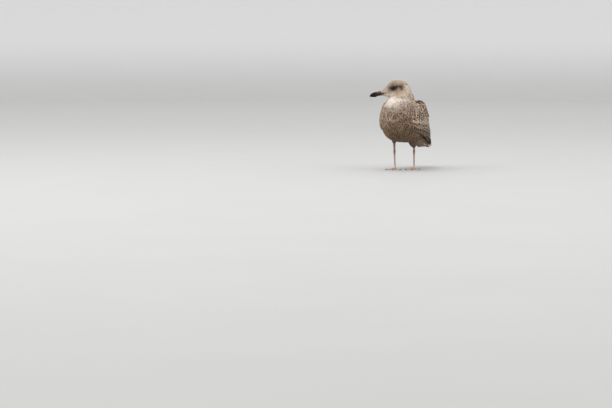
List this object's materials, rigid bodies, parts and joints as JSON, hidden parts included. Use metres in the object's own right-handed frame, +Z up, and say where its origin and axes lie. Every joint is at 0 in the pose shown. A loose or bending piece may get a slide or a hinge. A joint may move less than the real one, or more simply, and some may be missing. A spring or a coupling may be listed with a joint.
{
  "type": "still model of a young herring gull",
  "caption": "Life-size still model of a young herring gull standing on both webbed feet, with its neck drawn in and its head turned to look over its right shoulder.",
  "frame": {"origin": "middle of the model's box, at ground level under the soles", "axes": "+Z up, the body faces -Y with the tail towards +Y, and the bird's own left side is +X"},
  "size_m": [0.17, 0.3878, 0.3209],
  "materials": {
    "plumage_pale": "soft mottled buff and whitish feathers",
    "plumage_brown": "soft grey-brown feathers with paler and darker streaks",
    "plumage_wing": "layered brown feathers with pale buff fringes",
    "plumage_dark": "smooth blackish-brown flight feathers with thin pale edges",
    "eye": "polished near-black glass eye",
    "bill": "smooth horn, black at the tip and dull reddish brown at the base",
    "leg_skin": "scaly dull flesh-pink skin",
    "claw": "smooth dark horn"
  },
  "bodies": {
    "root": {"head": "plumage_pale", "neck": "plumage_pale", "trunk": "plumage_brown", "thigh_left": "plumage_brown", "thigh_right": "plumage_brown", "wing_left": "plumage_wing", "wing_right": "plumage_wing", "primaries_left": "plumage_dark", "primaries_right": "plumage_dark", "tail": "plumage_dark", "eye_left": "eye", "eye_right": "eye", "bill_upper": "bill", "bill_lower": "bill", "tibia_left": "leg_skin", "tibia_right": "leg_skin", "tarsus_left": "leg_skin", "tarsus_right": "leg_skin", "foot_left": "leg_skin", "foot_right": "leg_skin", "claw_left_inner": "claw", "claw_left_middle": "claw", "claw_left_outer": "claw", "claw_right_inner": "claw", "claw_right_middle": "claw", "claw_right_outer": "claw"}
  },
  "joints": []
}
